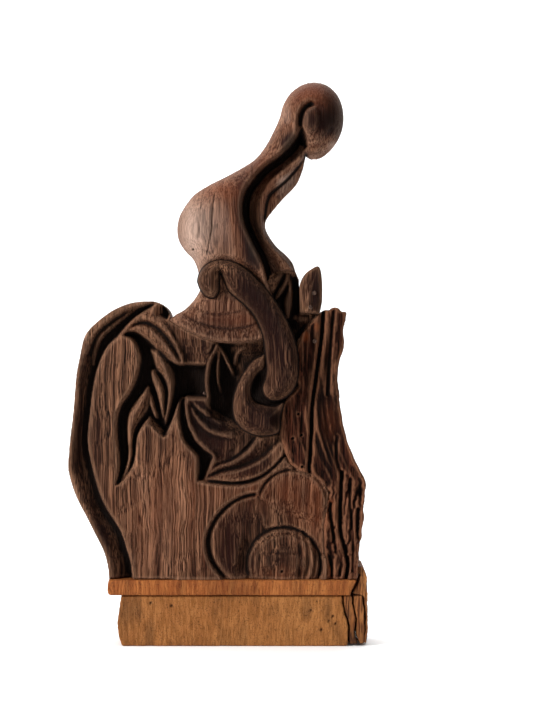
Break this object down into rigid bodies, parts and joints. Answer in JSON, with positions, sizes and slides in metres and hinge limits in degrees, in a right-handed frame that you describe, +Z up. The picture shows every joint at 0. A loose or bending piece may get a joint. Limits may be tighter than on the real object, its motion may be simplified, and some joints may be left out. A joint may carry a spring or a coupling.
{
  "type": "carved headrest panel",
  "caption": "Upright carved wooden headrest panel with a curling swan-neck finial, leaf and scroll relief, and a plain pale foot.",
  "frame": {"origin": "centre of the bounding box's bottom face, on the surface that the foot stands on", "axes": "+Z up along the grain, +X to the right seen from the carved side, -Y out of the carved face"},
  "size_m": [0.201, 0.0481, 0.3776],
  "materials": {
    "weathered_teak": "weathered, matt, open grain",
    "bleached_teak": "weathered grey-brown, matt",
    "split_teak": "rough, split, dark red-brown",
    "rail_teak": "planed, pale orange-tan",
    "foot_teak": "planed, pale tan with dark pores",
    "splinter_teak": "split, golden-brown",
    "brad_steel": "dull bright heads"
  },
  "bodies": {
    "root": {"carved_board": "weathered_teak", "weathered_stave": "split_teak", "shoulder_rail": "rail_teak", "tenon_block": "foot_teak", "neck_finial": "bleached_teak", "scroll_tendril": "weathered_teak", "scroll_boss": "weathered_teak", "right_leaf": "weathered_teak", "inner_sliver": "splinter_teak", "middle_sliver": "splinter_teak", "outer_sliver": "splinter_teak", "brads": "brad_steel", "dowels": "foot_teak"}
  },
  "joints": []
}
